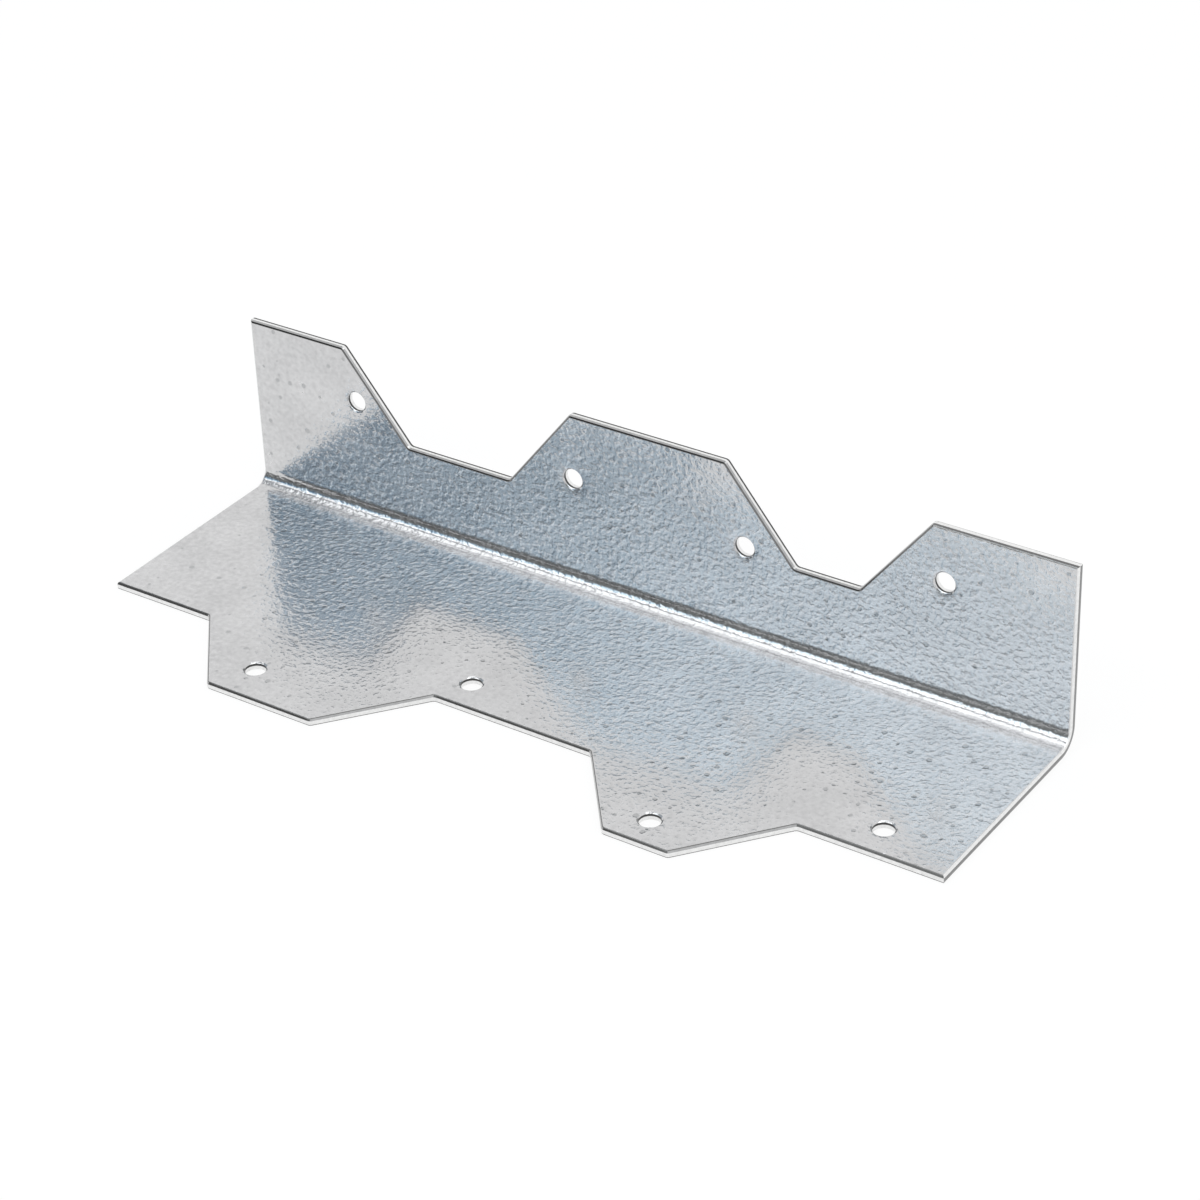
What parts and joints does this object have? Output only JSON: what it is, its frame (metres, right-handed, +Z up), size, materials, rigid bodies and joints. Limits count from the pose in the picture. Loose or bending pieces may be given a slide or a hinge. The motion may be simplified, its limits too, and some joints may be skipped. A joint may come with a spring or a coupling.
{
  "type": "reinforcing angle",
  "caption": "Galvanized sheet-steel reinforcing angle with unequal legs, zigzag tabs and notches along both edges and staggered nail holes, for tying two members at a right angle.",
  "frame": {"origin": "centre of the part's box, on the underside of the base leg", "axes": "+X along the bend to the right, +Y towards the upright leg's outer face, +Z up"},
  "size_m": [0.1778, 0.064, 0.037],
  "materials": {
    "galvanized_sheet": "bright mill galvanized, fine spangle and ripple"
  },
  "bodies": {
    "root": {"reinforcing_angle": "galvanized_sheet"}
  },
  "joints": []
}
